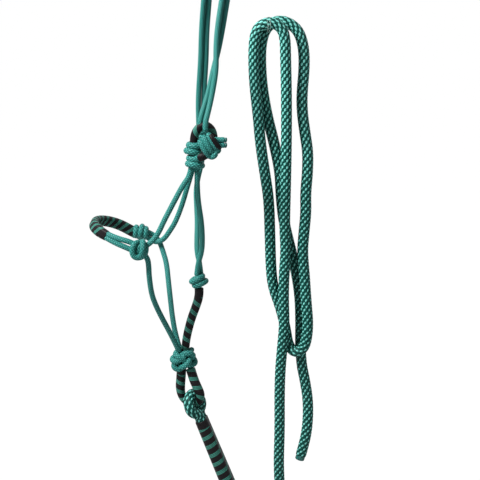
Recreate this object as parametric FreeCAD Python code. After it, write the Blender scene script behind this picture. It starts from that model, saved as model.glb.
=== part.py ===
import FreeCAD, Part
import math
import os

# A rope halter with its lead rope, hanging ready on two pegs.  Millimetres.
# The origin is the underside of the crown where it hangs over its peg.
# +Z is up, -X is the way the horse would face, -Y is the near side.

Vector = FreeCAD.Vector

# ---- driving dimensions -------------------------------------------------

CORD = 6.35              # halter cord, quarter inch
ROPE = 12.7              # lead rope, half inch
LACE = 1.6               # thickness of a wrapped layer of lacing
SLIP = 0.15              # radial clearance between a cord and its wrapping
RUN_GAP = 0.35           # clearance between pieces that move past each other
LINK_GAP = 0.95          # play where the lead's eye hangs on the halter's loop
LOOP_PLAY = 4.2          # play beside the rope inside the halter's loop
EYE_PLAY = 2.7           # play beside the wrapped cord inside the lead's eye
ARC_SHARE = 0.45         # share of a run that each bend takes

PEG_DIAMETER = 24.0      # peg that the crown hangs over
CROWN_STRAND_GAP = 0.4   # gap between the two crown strands on the peg

SIDE_KNOT_DIAMETER = 24.0
SIDE_KNOT_LENGTH = 34.0
SIDE_KNOT_TURNS = 4
NOSE_KNOT_DIAMETER = 23.0
NOSE_KNOT_LENGTH = 20.0
NOSE_KNOT_TURNS = 3
NOSE_KNOT_SWELL = 2.2    # how much thicker the middle turns are than the end ones
THROAT_KNOT_DIAMETER = 22.0
THROAT_KNOT_LENGTH = 17.0
THROAT_KNOT_TURNS = 2
FIADOR_KNOT_WIDTH = 34.0
FIADOR_KNOT_LENGTH = 26.0
FIADOR_KNOT_TURNS = 3
FIADOR_KNOT_SWELL = 3.0

HITCH_CORDS = 3          # cords that lie side by side across the tie
HITCH_LENGTH = 35.0
HITCH_SPACING = 6.2
CROWN_TAIL_LENGTH = 12.0 # crown tails that stand out of the tie
CROWN_TAIL_TIP = 3.0     # their melted ends

STRAP_WRAP_LENGTH = 70.0
NOSE_WRAP_START = 64.0   # from the near end of the noseband's cords to its wrap
NOSE_WRAP_END = 18.0     # from the wrap to the far end of the cords
LEAD_WRAP_LENGTH = 97.0
LOOP_BARE = 16.0         # cord of the lead loop inside and just below its knot
LOOP_SIDE = 13.5         # straight side of the lead loop
LOOP_NARROWING = 1.5     # how much each side closes in towards its top
STRAP_BARE = 13.0        # throat strap inside its knot and just below
TIE_EYE_BARE = 9.0       # bare cord at each foot of the tie's eye
HANK_TIE_WIDTH = 4.0     # a few turns of thread that keep the hank together
HANK_TIE_THREAD = 0.8
HANK_TIE_SLACK = 2.75
LEAD_TIP = 4.0           # melted end of the lead rope
LEAD_SHORT_OF_WRAP = 12.0    # the rope's cut end stays this far inside the wrap
LEAD_BEFORE_WRAP = 7.0   # rope between the meeting of the eye's sides and the wrap
LEAD_PAST_WRAP = 7.0     # straight rope past the wrap
HANK_STRAND_SPACING = 7.15   # half the distance between the strands over the peg
MELT_TAPER = 1.0         # how much a melted end narrows
CORNER_TURN = 45.0       # a cord goes half way round something in four corners
TINY = 0.01              # shorter stretches are left out

# ---- places of the knots ------------------------------------------------

SIDE_KNOT_NEAR = Vector(-33.5, -40.0, -312.7)
SIDE_KNOT_FAR = Vector(-28.4, 40.0, -303.0)
NOSE_KNOT_NEAR = Vector(-103.1, -56.0, -427.5)
NOSE_KNOT_FAR = Vector(-108.2, 56.0, -425.7)
THROAT_KNOT = Vector(-31.4, 0.0, -479.2)
FIADOR_KNOT = Vector(-50.0, 0.0, -580.9)
HITCH = Vector(-15.0, -54.6, -299.0)

SIDE_KNOT_AXIS = Vector(0.06, 0.0, 1.0)
THROAT_KNOT_AXIS = Vector(-0.34, 0.0, 1.0)
FIADOR_KNOT_AXIS = Vector(-0.18, 0.0, 1.0)
HITCH_ALONG = Vector(0.65, 0.0, -0.76)

LOOP_BOTTOM = Vector(-37.2, 0.0, -641.7)
LINK_TURN = 30.0         # how far the loop and the eye are turned about the vertical
LINK_DOWN = Vector(0.368, 0.0, -0.930)
EYE_HEIGHT = 31.0        # from the top of the eye to where its sides meet
EYE_WAIST = 11.5         # straight side of the eye

LEAD_PIVOT = Vector(72.9, 0.0, -632.5)
TAIL_PIVOT = Vector(100.6, 5.0, -587.7)

# ---- routes of the cords, each from end to end --------------------------

CHEEK_NEAR = [(-37.2, -40, -318), (-38.4, -40.5, -336), (-49.0, -43, -350.6), (-57.0, -45, -365.2),
              (-65.4, -47.5, -381), (-72.4, -50, -394.2), (-79.2, -52, -408.9), (-88.5, -54.5, -420.5),
              (-99.0, -56, -426)]
CHEEK_FAR = [(-31.4, 40.5, -306), (-34.0, 41, -324), (-46.3, 44, -363.1), (-53.1, 47, -387.1),
             (-62.5, 50, -411.4), (-70.4, 52.5, -424.0), (-77.6, 54, -431.6), (-86.6, 55.5, -435.2),
             (-96.0, 56, -433.0), (-104.0, 56, -427.5)]
CHIN_NEAR = [(-99.0, -55.5, -430), (-92.3, -54.8, -438), (-91.0, -52.5, -449), (-91.0, -50, -462.1),
             (-88.8, -42, -486.7), (-83.7, -36, -503.5), (-76.9, -27, -521.2), (-69.3, -18, -539.1),
             (-62.5, -10, -556.0), (-56.2, -5, -572)]
CHIN_FAR = [(-105.0, 56.0, -421.5), (-94.5, 58.5, -420.0), (-86.3, 61.6, -425.0), (-81.6, 62.2, -436.0),
            (-79.0, 58.0, -449.0), (-74.6, 50, -466.0), (-71.9, 40, -489.3), (-69.0, 30, -511.1),
            (-66.0, 18.5, -532.3), (-61.6, 9, -553.5), (-55.6, 5, -572)]
THROAT_NEAR = [(-30.4, -40, -318), (-31.0, -39, -336), (-31.2, -35, -355), (-29.9, -30, -375.0),
               (-26.5, -23, -398.9), (-25.6, -14, -423.4), (-26.9, -7.5, -440.0), (-31.9, -4.3, -456.3),
               (-33.6, -3.6, -472)]
THROAT_FAR = [(-24.2, 40, -308), (-26.0, 40, -326), (-35.2, 36.5, -362.0), (-34.3, 30, -384.5),
              (-33.0, 23, -406.8), (-33.7, 14.5, -428.6), (-33.4, 8.5, -443.3), (-29.7, 4.8, -458.1),
              (-28.4, 3.6, -472)]
THROAT_STRAP = [(-31.4, 0, -479), (-30.4, 0, -491), (-31.2, 0, -501), (-34.6, 0, -512),
                (-40.4, 0, -527.2), (-44.8, 0, -543.2), (-48.2, 0, -559.6), (-49.6, 0, -576)]

LOOP_START = [(-53.4, 2.0, -586), (-54.6, 4.8, -604)]
LOOP_FINISH = [(-39.6, -4.8, -604), (-44.6, -2.0, -586)]

EYE_OF_TIE = [(-37.0, -42, -305), (-39.4, -43, -292), (-33.5, -44.5, -280), (-22.0, -45.5, -274.6),
              (-10.8, -45.5, -279), (-5.2, -44.5, -290.5), (-8.5, -43, -303), (-19.0, -41.5, -311),
              (-30.0, -40.5, -313)]

STRAND = (CORD + CROWN_STRAND_GAP) / 2


def half_turn(reach):
    """Offsets (sideways, back) of the corners of a cord's path half way round something."""
    inner = reach * math.tan(math.radians(CORNER_TURN / 2))
    return [(-reach, reach - inner), (-inner, 0.0), (inner, 0.0), (reach, reach - inner)]


def over_peg(across):
    """Corners of one crown strand over its peg; the strand's underside is at height 0."""
    corners = half_turn((PEG_DIAMETER + CORD) / 2)
    return [(sideways, across, CORD / 2 - back) for sideways, back in corners]


CROWN_FRONT = [(-30.5, 38.5, -296), (-31.3, 37.0, -280), (-31.4, 33, -246.3), (-27.7, 26, -200.6),
               (-26.5, 19.0, -163.0), (-23.3, 12, -126.1), (-18.6, 3.0, -77.8), (-15.9, -1.8, -42.2),
               (-15.6, -STRAND, -22)]
CROWN_FRONT += over_peg(-STRAND)
CROWN_FRONT += [(15.3, -STRAND, -21), (13.4, -4.6, -47), (7.5, -9.0, -78.1), (-0.6, -16.5, -126),
                (-6.2, -25.0, -161.9), (-7.6, -31.5, -185.8), (-7.2, -38.4, -209.7), (-12.6, -43.0, -240.7),
                (-17.4, -50.5, -261), (-20.8, -54.5, -274), (-19.9, -54.6, -282.1)]
CROWN_REAR = [(-23.6, 40.5, -296), (-24.4, 38.5, -280), (-24.6, 35.5, -246.3), (-21.1, 28, -200.6),
              (-20.0, 21.5, -163.0), (-16.6, 15.5, -126.1), (-13.0, 8.6, -77.8), (-12.6, 5.0, -42.2),
              (-14.9, STRAND, -22)]
CROWN_REAR += over_peg(STRAND)
CROWN_REAR += [(15.8, STRAND, -21), (17.8, 2.0, -47), (13.6, -2.6, -78.1), (6.2, -11.0, -126),
               (0.1, -19.0, -161.9), (-4.6, -24.5, -185.8), (-10.9, -30.8, -209.7), (-17.6, -38.0, -240.7),
               (-24.6, -49.5, -261), (-28.6, -54.5, -274.6), (-25.1, -54.6, -286.2)]

CROWN_TAIL_START = Vector(-9.0, -54.6, -294.0)
CROWN_TAIL_ALONG = Vector(1.0, 0.0, -0.10)

# The noseband is a flat U: along is forward from the nose knots, across is +Y.
NOSE_MIDDLE = [(-12.0, -56.0), (8.0, -55.6), (26.0, -54.0), (42.0, -47.5), (57.0, -35.0), (66.0, -17.0),
               (67.5, 4.0), (62.0, 23.0), (50.0, 40.0), (34.0, 51.0), (15.0, 55.5), (-5.0, 56.0)]
NOSE_CENTRE = (NOSE_KNOT_NEAR + NOSE_KNOT_FAR) * 0.5
NOSE_FORWARD = Vector(-59.4, 0.0, 30.2)
UPPER_BULGE = 4.5        # how far the upper bare cord bows up from the wrapped ones
LOWER_BULGE = -0.6       # and the lower one
BULGE_RISE = 0.6         # share of the bulge that is reached one point before its top

BIGHT = [(25.0, -4.0, -800), (24.5, -16.5, -828), (22.5, -26.3, -853), (30.4, -18.7, -872),
         (44.1, -6.6, -883), (59.7, 8.2, -883), (73.0, 20.2, -872), (80.5, 26.0, -853),
         (80.4, 23.0, -826), (77.2, 14.5, -795), (74.0, 5.0, -760), (72.2, 0.5, -722),
         (73.4, 0.0, -678)]

HANK = [(73.4, -4, -598.5), (75.5, -8, -568.1), (78.5, -9, -534.8), (77.0, -9, -502.0),
        (77.4, -9, -470.8), (79.8, -9, -437.2), (77.7, -9, -408.9), (78.7, -9, -360.6),
        (79.5, -9, -297.7), (79.2, -8, -242.0), (78.0, -7, -200.0), (77.0, -7, -170.0),
        (70.2, -7, -159.0), (59.0, -7, -154.8), (47.6, -7, -158.2), (40.2, -7, -168.0),
        (38.2, -7, -192.0), (39.6, -6, -228.4), (44.0, -5, -265.6), (47.2, -3, -303.3),
        (53.0, -1, -341.4), (58.2, 0, -374.6), (59.7, 1, -422.0), (61.3, 4, -468.0),
        (64.6, 5, -490.5), (71.7, 6, -509.5), (78.0, 6, -532.0), (82.6, 4, -548.0),
        (86.0, 0.6, -560.8), (91.2, -3.9, -568.2), (99.4, -7.2, -570.0), (106.8, -8.5, -565.4),
        (109.9, -8.5, -556.0), (108.8, -7.5, -534.4), (105.8, -6, -502.7), (103.7, -4, -471.9),
        (100.7, -3, -440.9), (102.7, -2, -415.3), (105.1, 0, -390.0), (104.3, 0, -366.1),
        (106.5, 0, -341.5), (107.0, 1, -314.4), (102.6, 2, -287.5), (99.3, 3, -263.9),
        (98.8, 4, -240.8), (101.6, 5, -210.3), (100.8, 6, -184.0), (94.8, 7, -166.4),
        (82.2, 7.3, -155.6), (66.6, 7.3, -153.2), (53.2, 7.3, -162.0), (47.6, 7, -179.0),
        (47.0, 7, -203.0), (49.1, 7, -233.3), (55.4, 7, -268.7), (65.0, 6.4, -304.9),
        (72.3, 6, -339.8), (73.5, 6, -370.4), (76.9, 6, -401.3), (84.1, 6, -431.0),
        (93.3, 7, -466.4), (98.7, 7, -500.5), (99.9, 7, -534.9), (99.6, 6.6, -560.0)]

HANK_TIE = Vector(62.0, 0.15, -156.2)
LEAD_TAIL = [(106.0, 5.6, -612.6), (110.4, 5.4, -640.3), (110.2, 4.6, -669.8), (106.5, 4.6, -695.8)]
LEAD_END = Vector(100.6, 5.0, -717.0)


# ---- plain geometry ------------------------------------------------------

def unit(vector):
    return vector * (1 / vector.Length)


def rounded(points):
    """Straight edges joined by tangent arcs, and the arcs' radii."""
    corners = [Vector(*point) for point in points]
    edges = []
    radii = []
    start = corners[0]
    for before, corner, after in zip(corners, corners[1:], corners[2:]):
        inward = unit(corner - before)
        outward = unit(after - corner)
        turn = inward.getAngle(outward)
        setback = ARC_SHARE * min((corner - before).Length, (after - corner).Length)
        radius = setback / math.tan(turn / 2)
        rise = radius / math.cos(turn / 2) - radius
        arc_start = corner - inward * setback
        arc_end = corner + outward * setback
        arc_middle = corner + unit(outward - inward) * rise
        edges.append(Part.LineSegment(start, arc_start).toShape())
        edges.append(Part.Arc(arc_start, arc_middle, arc_end).toShape())
        radii.append(radius)
        start = arc_end
    edges.append(Part.LineSegment(start, corners[-1]).toShape())
    return edges, radii


def length_of(edges):
    return sum(edge.Length for edge in edges)


def stretch(edges, start, end):
    """The part of a path between two distances along it."""
    kept = []
    passed = 0.0
    for edge in edges:
        first = max(start - passed, 0.0)
        last = min(end - passed, edge.Length)
        if last - first > TINY:
            begin = edge.getParameterByLength(first)
            finish = edge.getParameterByLength(last)
            kept.append(Part.Edge(edge.Curve, begin, finish))
        passed += edge.Length
    return kept


def direction_at_start(edges):
    edge = edges[0]
    return unit(edge.tangentAt(edge.FirstParameter))


def round_face(edges, outer, inner=0.0):
    """A disc or a ring across the start of a path."""
    centre = edges[0].valueAt(edges[0].FirstParameter)
    along = direction_at_start(edges)
    face = Part.Face(Part.Wire(Part.makeCircle(outer / 2, centre, along)))
    if inner > 0:
        face = face.cut(Part.Face(Part.Wire(Part.makeCircle(inner / 2, centre, along)))).Faces[0]
    return face


def oval_wire(centre, side, up, half_spacing, radius):
    """Two half circles joined by straight sides, spread along side."""
    right = centre + side * half_spacing
    left = centre - side * half_spacing
    right_cap = Part.Arc(right - up * radius, right + side * radius, right + up * radius).toShape()
    left_cap = Part.Arc(left + up * radius, left - side * radius, left - up * radius).toShape()
    top = Part.LineSegment(right + up * radius, left + up * radius).toShape()
    bottom = Part.LineSegment(left - up * radius, right - up * radius).toShape()
    return Part.Wire([right_cap, top, left_cap, bottom])


def oval_ring(edges, side, half_spacing, outer_radius, inner_radius):
    """A ring round two cords that lie side by side."""
    centre = edges[0].valueAt(edges[0].FirstParameter)
    along = direction_at_start(edges)
    up = unit(along.cross(side))
    flat_side = unit(up.cross(along))
    outer = Part.Face(oval_wire(centre, flat_side, up, half_spacing, outer_radius))
    inner = Part.Face(oval_wire(centre, flat_side, up, half_spacing, inner_radius))
    return outer.cut(inner).Faces[0]


def sweep(edges, face):
    return Part.Wire(edges).makePipe(face)


def biggest(shape):
    return max(shape.Solids, key=lambda solid: solid.Volume)


def trimmed(shape, *others):
    """The main piece of a cord after the knots it runs into are taken away."""
    for other in others:
        shape = shape.cut(other)
    return biggest(shape)


def tube(name, points, diameter):
    """A round cord along a route; its bends and volume are printed."""
    edges, radii = rounded(points)
    solid = sweep(edges, round_face(edges, diameter))
    ratio = solid.Volume / (length_of(edges) * math.pi * diameter ** 2 / 4)
    print("%-18s %7.1f mm  smallest bend %5.1f mm  volume ratio %.4f"
          % (name, length_of(edges), min(radii), ratio))
    print("    bends " + " ".join("%.0f" % radius for radius in radii))
    return edges, biggest(solid)


def wrapping(edges, start, end, cord):
    """A layer of lacing round one cord between two distances along it."""
    part = stretch(edges, start, end)
    return sweep(part, round_face(part, cord + 2 * SLIP + 2 * LACE, cord + 2 * SLIP))


def barrel(centre, axis, length, diameter, turns, swell=0.0):
    """A knot: cord turns stacked along an axis, the middle ones larger by swell."""
    ridge = length / turns / 2
    place = -length / 2
    points = [Vector(0, 0, place)]
    edges = []
    for turn in range(turns):
        middle = abs(2 * turn - (turns - 1)) / max(turns - 1, 1)
        reach = diameter / 2 - ridge - swell * middle
        low = Vector(reach, 0, place)
        high = Vector(reach, 0, place + 2 * ridge)
        crest = Vector(reach + ridge, 0, place + ridge)
        if (low - points[-1]).Length > TINY:
            edges.append(Part.LineSegment(points[-1], low).toShape())
        edges.append(Part.Arc(low, crest, high).toShape())
        points.append(high)
        place += 2 * ridge
    top = Vector(0, 0, length / 2)
    edges.append(Part.LineSegment(points[-1], top).toShape())
    edges.append(Part.LineSegment(top, points[0]).toShape())
    solid = Part.Face(Part.Wire(edges)).revolve(Vector(), Vector(0, 0, 1), 360)
    solid.Placement = FreeCAD.Placement(centre, FreeCAD.Rotation(Vector(0, 0, 1), axis))
    return biggest(solid)


def capsule(start, end, diameter):
    rod = Part.makeCylinder(diameter / 2, (end - start).Length, start, end - start)
    return rod.fuse([Part.makeSphere(diameter / 2, start), Part.makeSphere(diameter / 2, end)])


# ---- sub-parts -------------------------------------------------------------

def knots():
    forward = unit(NOSE_FORWARD)
    return {
        "side_knot_near": barrel(SIDE_KNOT_NEAR, SIDE_KNOT_AXIS, SIDE_KNOT_LENGTH,
                                 SIDE_KNOT_DIAMETER, SIDE_KNOT_TURNS),
        "side_knot_far": barrel(SIDE_KNOT_FAR, SIDE_KNOT_AXIS, SIDE_KNOT_LENGTH,
                                SIDE_KNOT_DIAMETER, SIDE_KNOT_TURNS),
        "nose_knot_near": barrel(NOSE_KNOT_NEAR, forward, NOSE_KNOT_LENGTH,
                                 NOSE_KNOT_DIAMETER, NOSE_KNOT_TURNS, NOSE_KNOT_SWELL),
        "nose_knot_far": barrel(NOSE_KNOT_FAR, forward, NOSE_KNOT_LENGTH,
                                NOSE_KNOT_DIAMETER, NOSE_KNOT_TURNS, NOSE_KNOT_SWELL),
        "throat_knot": barrel(THROAT_KNOT, THROAT_KNOT_AXIS, THROAT_KNOT_LENGTH,
                              THROAT_KNOT_DIAMETER, THROAT_KNOT_TURNS),
        "fiador_knot": barrel(FIADOR_KNOT, FIADOR_KNOT_AXIS, FIADOR_KNOT_LENGTH,
                              FIADOR_KNOT_WIDTH, FIADOR_KNOT_TURNS, FIADOR_KNOT_SWELL),
    }


def tie_hitch():
    """Three cords side by side that hold the crown tails in the eye."""
    along = unit(HITCH_ALONG)
    sideways = along.cross(Vector(0, 1, 0))
    half = (HITCH_LENGTH - CORD) / 2
    cords = []
    for index in range(HITCH_CORDS):
        shift = sideways * (HITCH_SPACING * (index - (HITCH_CORDS - 1) / 2))
        cords.append(capsule(HITCH + shift - along * half, HITCH + shift + along * half, CORD))
    return biggest(cords[0].fuse(cords[1:]))


def melted_end(place, along, diameter, length):
    return Part.makeCone(diameter / 2, diameter / 2 - MELT_TAPER, length, place, along)


def crown_tails(hitch):
    """The two crown tails lie one over the other where they leave the tie."""
    along = unit(CROWN_TAIL_ALONG)
    up = Vector(0, 1, 0).cross(along)
    tails = []
    tips = []
    for side in (-1, 1):
        start = CROWN_TAIL_START + up * (side * (CORD / 2 + SLIP))
        tail = Part.makeCylinder(CORD / 2, CROWN_TAIL_LENGTH, start, along)
        tails.append(trimmed(tail, hitch))
        tips.append(melted_end(start + along * CROWN_TAIL_LENGTH, along, CORD, CROWN_TAIL_TIP))
    return Part.Compound(tails), Part.Compound(tips)


def knot_reach(length, diameter, turns, swell):
    """Furthest that a knot reaches from its centre."""
    ridge = length / turns / 2
    reach = 0.0
    for turn in range(turns):
        place = abs(2 * turn - (turns - 1)) * ridge
        middle = abs(2 * turn - (turns - 1)) / max(turns - 1, 1)
        out = diameter / 2 - ridge - swell * middle
        reach = max(reach, math.hypot(out, place) + ridge)
    return reach


def noseband_frame():
    forward = unit(NOSE_FORWARD)
    normal = unit(Vector(0, 1, 0).cross(forward))
    if normal.z < 0:
        normal = normal * -1
    return forward, normal


def noseband_points(lift, bulge):
    """Points of one noseband cord: lifted along the band's normal."""
    forward, normal = noseband_frame()
    points = []
    for index, (along, across) in enumerate(NOSE_MIDDLE):
        place = Vector(NOSE_CENTRE.x, 0, NOSE_CENTRE.z) + forward * along + normal * lift
        place.y = across
        if index == 1:
            place = place + normal * (bulge * BULGE_RISE)
        if index == 2:
            place = place + normal * bulge
        points.append(tuple(place))
    return points


def nose_clearance():
    """Room round the two nose knots that the noseband keeps out of as it folds."""
    axis = NOSE_KNOT_FAR - NOSE_KNOT_NEAR
    reach = knot_reach(NOSE_KNOT_LENGTH, NOSE_KNOT_DIAMETER, NOSE_KNOT_TURNS, NOSE_KNOT_SWELL)
    half = unit(axis) * (reach * 2)
    radius = reach + RUN_GAP
    near = Part.makeCylinder(radius, half.Length * 2, NOSE_KNOT_NEAR - half, axis)
    far = Part.makeCylinder(radius, half.Length * 2, NOSE_KNOT_FAR - half, axis)
    return near, far


def noseband():
    """Two cords in a U, wrapped together round the front."""
    spacing = CORD / 2 + SLIP
    normal = noseband_frame()[1]
    near, far = nose_clearance()
    lower = tube("noseband_cord_lower", noseband_points(-spacing, LOWER_BULGE), CORD)[1]
    upper = tube("noseband_cord_upper", noseband_points(spacing, UPPER_BULGE), CORD)[1]
    middle = rounded(noseband_points(0.0, 0.0))[0]
    part = stretch(middle, NOSE_WRAP_START, length_of(middle) - NOSE_WRAP_END)
    bore = CORD / 2 + SLIP
    wrap = sweep(part, oval_ring(part, normal, spacing, bore + LACE, bore))
    return {
        "noseband_cord_lower": trimmed(lower, near, far),
        "noseband_cord_upper": trimmed(upper, near, far),
        "noseband_wrap": trimmed(wrap, near, far),
    }


def link_side(turn):
    """The way a link hangs, and the direction across it at a turn about the vertical."""
    down = unit(LINK_DOWN)
    side = Vector(math.cos(math.radians(turn)), math.sin(math.radians(turn)), 0)
    return down, unit(side - down * side.dot(down))


def lead_loop_points():
    """The halter's loop leaves its knot, hangs in a U and goes back in."""
    down, side = link_side(-LINK_TURN)
    half = (ROPE + CORD) / 2 + SLIP + LACE + LOOP_PLAY
    corners = [LOOP_BOTTOM + side * across - down * back for across, back in half_turn(half)]
    left = corners[0] - down * LOOP_SIDE + side * LOOP_NARROWING
    right = corners[-1] - down * LOOP_SIDE - side * LOOP_NARROWING
    return LOOP_START + [tuple(point) for point in (left, *corners, right)] + LOOP_FINISH


def eye_top():
    """Where the middle of the lead's rope passes over the halter's loop."""
    down = unit(LINK_DOWN)
    return LOOP_BOTTOM - down * ((ROPE + CORD) / 2 + SLIP + LACE + LINK_GAP)


def lead_points():
    """The lead's end, its eye through the halter's loop, and the hanging bight."""
    down, side = link_side(90 - LINK_TURN)
    half = (ROPE + CORD) / 2 + SLIP + LACE + EYE_PLAY
    close = side * (ROPE / 2 + SLIP)
    top = eye_top()
    arch = [top + side * across + down * back for across, back in half_turn(half)]
    waist = down * EYE_WAIST
    mouth = top + down * EYE_HEIGHT
    wrap_end = mouth + down * (LEAD_BEFORE_WRAP + LEAD_WRAP_LENGTH)
    short_end = wrap_end - down * LEAD_SHORT_OF_WRAP
    straight_end = wrap_end + down * LEAD_PAST_WRAP
    eye = [short_end - close, mouth - close, arch[0] + waist, *arch, arch[-1] + waist,
           mouth + close, straight_end + close]
    return [tuple(point) for point in eye] + BIGHT + [tuple(LEAD_PIVOT)]


def lead_rope():
    """The rope in three lengths that meet at the pivots with round ends."""
    bight = tube("lead_rope_bight", lead_points(), ROPE)[1]
    bight = biggest(bight.fuse(Part.makeSphere(ROPE / 2, LEAD_PIVOT)))
    reach = ROPE / 2 + RUN_GAP
    first = LEAD_PIVOT + unit(Vector(*HANK[0]) - LEAD_PIVOT) * reach
    last = TAIL_PIVOT + unit(Vector(*HANK[-1]) - TAIL_PIVOT) * reach
    hank = tube("lead_rope_hank", [tuple(first)] + HANK + [tuple(last)], ROPE)[1]
    tail = tube("lead_rope_tail", [tuple(TAIL_PIVOT)] + LEAD_TAIL + [tuple(LEAD_END)], ROPE)[1]
    tail = biggest(tail.fuse(Part.makeSphere(ROPE / 2, TAIL_PIVOT)))
    along = unit(LEAD_END - Vector(*LEAD_TAIL[-1]))
    return {
        "lead_rope_bight": bight,
        "lead_rope_hank": hank,
        "lead_rope_tail": tail,
        "lead_rope_tip": melted_end(LEAD_END, along, ROPE, LEAD_TIP),
    }


def lead_wrap():
    """Two rope parts held side by side in a sleeve of lacing."""
    down, side = link_side(90 - LINK_TURN)
    start = eye_top() + down * (EYE_HEIGHT + LEAD_BEFORE_WRAP)
    edges = [Part.LineSegment(start, start + down * LEAD_WRAP_LENGTH).toShape()]
    radius = ROPE / 2 + SLIP
    return biggest(sweep(edges, oval_ring(edges, side, radius, radius + LACE, radius)))


def hank_tie():
    """A few turns of thread round the strands of the hank beside its peg."""
    half = Vector(HANK_TIE_WIDTH / 2, 0, 0)
    edges = [Part.LineSegment(HANK_TIE - half, HANK_TIE + half).toShape()]
    radius = ROPE / 2 + HANK_TIE_SLACK
    ring = oval_ring(edges, Vector(0, 1, 0), HANK_STRAND_SPACING, radius + HANK_TIE_THREAD, radius)
    return biggest(sweep(edges, ring))


def held_cords(knot):
    """Bare cords of the halter, each ended on the knots that hold it."""
    routes = {
        "cheek_cord_near": (CHEEK_NEAR, "side_knot_near", "nose_knot_near"),
        "cheek_cord_far": (CHEEK_FAR, "side_knot_far", "nose_knot_far"),
        "chin_cord_near": (CHIN_NEAR, "nose_knot_near", "fiador_knot"),
        "chin_cord_far": (CHIN_FAR, "nose_knot_far", "fiador_knot"),
        "throat_cord_near": (THROAT_NEAR, "side_knot_near", "throat_knot"),
        "throat_cord_far": (THROAT_FAR, "side_knot_far", "throat_knot"),
        "crown_cord_front": (CROWN_FRONT, "side_knot_far", "tie_hitch"),
        "crown_cord_rear": (CROWN_REAR, "side_knot_far", "tie_hitch"),
    }
    cords = {}
    for name, (points, first, last) in routes.items():
        cords[name] = trimmed(tube(name, points, CORD)[1], knot[first], knot[last])
    return cords


def wrapped_cords(knot):
    """The tie's eye, the throat strap and the lead loop, each with its wrap."""
    eye, eye_cord = tube("tie_eye_cord", EYE_OF_TIE, CORD)
    strap, strap_cord = tube("throat_strap_cord", THROAT_STRAP, CORD)
    loop, loop_cord = tube("lead_loop_cord", lead_loop_points(), CORD)
    eye_wrap = wrapping(eye, TIE_EYE_BARE, length_of(eye) - TIE_EYE_BARE, CORD)
    strap_wrap = wrapping(strap, STRAP_BARE, STRAP_BARE + STRAP_WRAP_LENGTH, CORD)
    loop_wrap = wrapping(loop, LOOP_BARE, length_of(loop) - LOOP_BARE, CORD)
    side_knot = knot["side_knot_near"]
    fiador = knot["fiador_knot"]
    return {
        "tie_eye_cord": trimmed(eye_cord, side_knot),
        "tie_eye_wrap": trimmed(eye_wrap, side_knot),
        "throat_strap_cord": trimmed(strap_cord, knot["throat_knot"], fiador),
        "throat_strap_wrap": trimmed(strap_wrap, knot["throat_knot"], fiador),
        "lead_loop_cord": trimmed(loop_cord, fiador),
        "lead_loop_wrap": trimmed(loop_wrap, fiador),
    }


def main():
    os.makedirs("parts", exist_ok=True)
    nodes = knots()
    nodes["tie_hitch"] = tie_hitch()
    nodes.update(held_cords(nodes))
    nodes.update(wrapped_cords(nodes))
    nodes["crown_tails"], nodes["crown_tail_ends"] = crown_tails(nodes["tie_hitch"])
    nodes.update(noseband())
    nodes.update(lead_rope())
    nodes["lead_wrap"] = lead_wrap()
    nodes["hank_tie"] = hank_tie()
    for name, shape in sorted(nodes.items()):
        print("%-20s solids %d valid %s volume %8.0f"
              % (name, len(shape.Solids), shape.isValid(), shape.Volume))
        shape.exportStep("parts/%s.step" % name)


main()
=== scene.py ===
import logging
import math
from collections.abc import Callable, Sequence
from dataclasses import dataclass, field
from enum import Enum
from functools import cache
from typing import ClassVar

import bmesh
import bpy
import numpy as np
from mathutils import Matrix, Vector


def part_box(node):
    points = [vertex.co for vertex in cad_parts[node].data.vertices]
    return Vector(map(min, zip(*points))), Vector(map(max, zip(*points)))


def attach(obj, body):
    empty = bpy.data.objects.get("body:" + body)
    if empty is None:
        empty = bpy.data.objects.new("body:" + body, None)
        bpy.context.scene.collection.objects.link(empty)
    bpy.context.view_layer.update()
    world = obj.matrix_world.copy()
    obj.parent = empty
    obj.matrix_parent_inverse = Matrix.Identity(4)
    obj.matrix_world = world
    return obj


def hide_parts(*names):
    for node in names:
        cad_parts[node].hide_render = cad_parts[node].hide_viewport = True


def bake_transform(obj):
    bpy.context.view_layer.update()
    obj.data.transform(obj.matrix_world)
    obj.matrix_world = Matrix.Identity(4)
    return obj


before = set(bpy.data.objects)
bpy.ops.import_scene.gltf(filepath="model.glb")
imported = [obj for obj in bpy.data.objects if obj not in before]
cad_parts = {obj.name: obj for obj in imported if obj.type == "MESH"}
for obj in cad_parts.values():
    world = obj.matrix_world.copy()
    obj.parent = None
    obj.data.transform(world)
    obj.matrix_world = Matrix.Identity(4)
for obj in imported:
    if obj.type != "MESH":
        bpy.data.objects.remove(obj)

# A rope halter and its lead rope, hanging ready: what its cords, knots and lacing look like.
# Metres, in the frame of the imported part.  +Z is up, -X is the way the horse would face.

LOG = logging.getLogger("rope_halter")
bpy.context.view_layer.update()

Point = tuple[float, float, float]
Colour = tuple[float, float, float]
Number = "float | Term"

# ---- sizes

CORD = 0.00635               # halter cord
ROPE = 0.0127                # lead rope
KNOT_CORD = 0.0068           # halter cord pressed flat and wide in a tight knot
SIDE_KNOT_CORD = 0.0078      # the same, in the side knots
HITCH_CORD = 0.0066          # the same, in the tie
LACE = 0.0016                # thickness of a wrapped layer of lacing
SLIP = 0.00015               # room between a cord and its wrapping
THREAD = 0.0005              # thread round the hank
WRAP_STEP = 0.0004           # distance between the rings of a wrap's skin
END_ROUND = 0.0016           # length over which a wrap or a melted end closes
CORD_FACES = 48              # faces round a cord
CORD_END_SHARE = 0.35        # length over which a cord's end closes, in diameters
SHORT_RUN = 8                # how finely the runs of a short route are read
PEG_DIAMETER = 0.024
CROWN_STRAND_GAP = 0.0004
STRAND = (CORD + CROWN_STRAND_GAP) / 2  # from the crown's middle to each strand's

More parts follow.
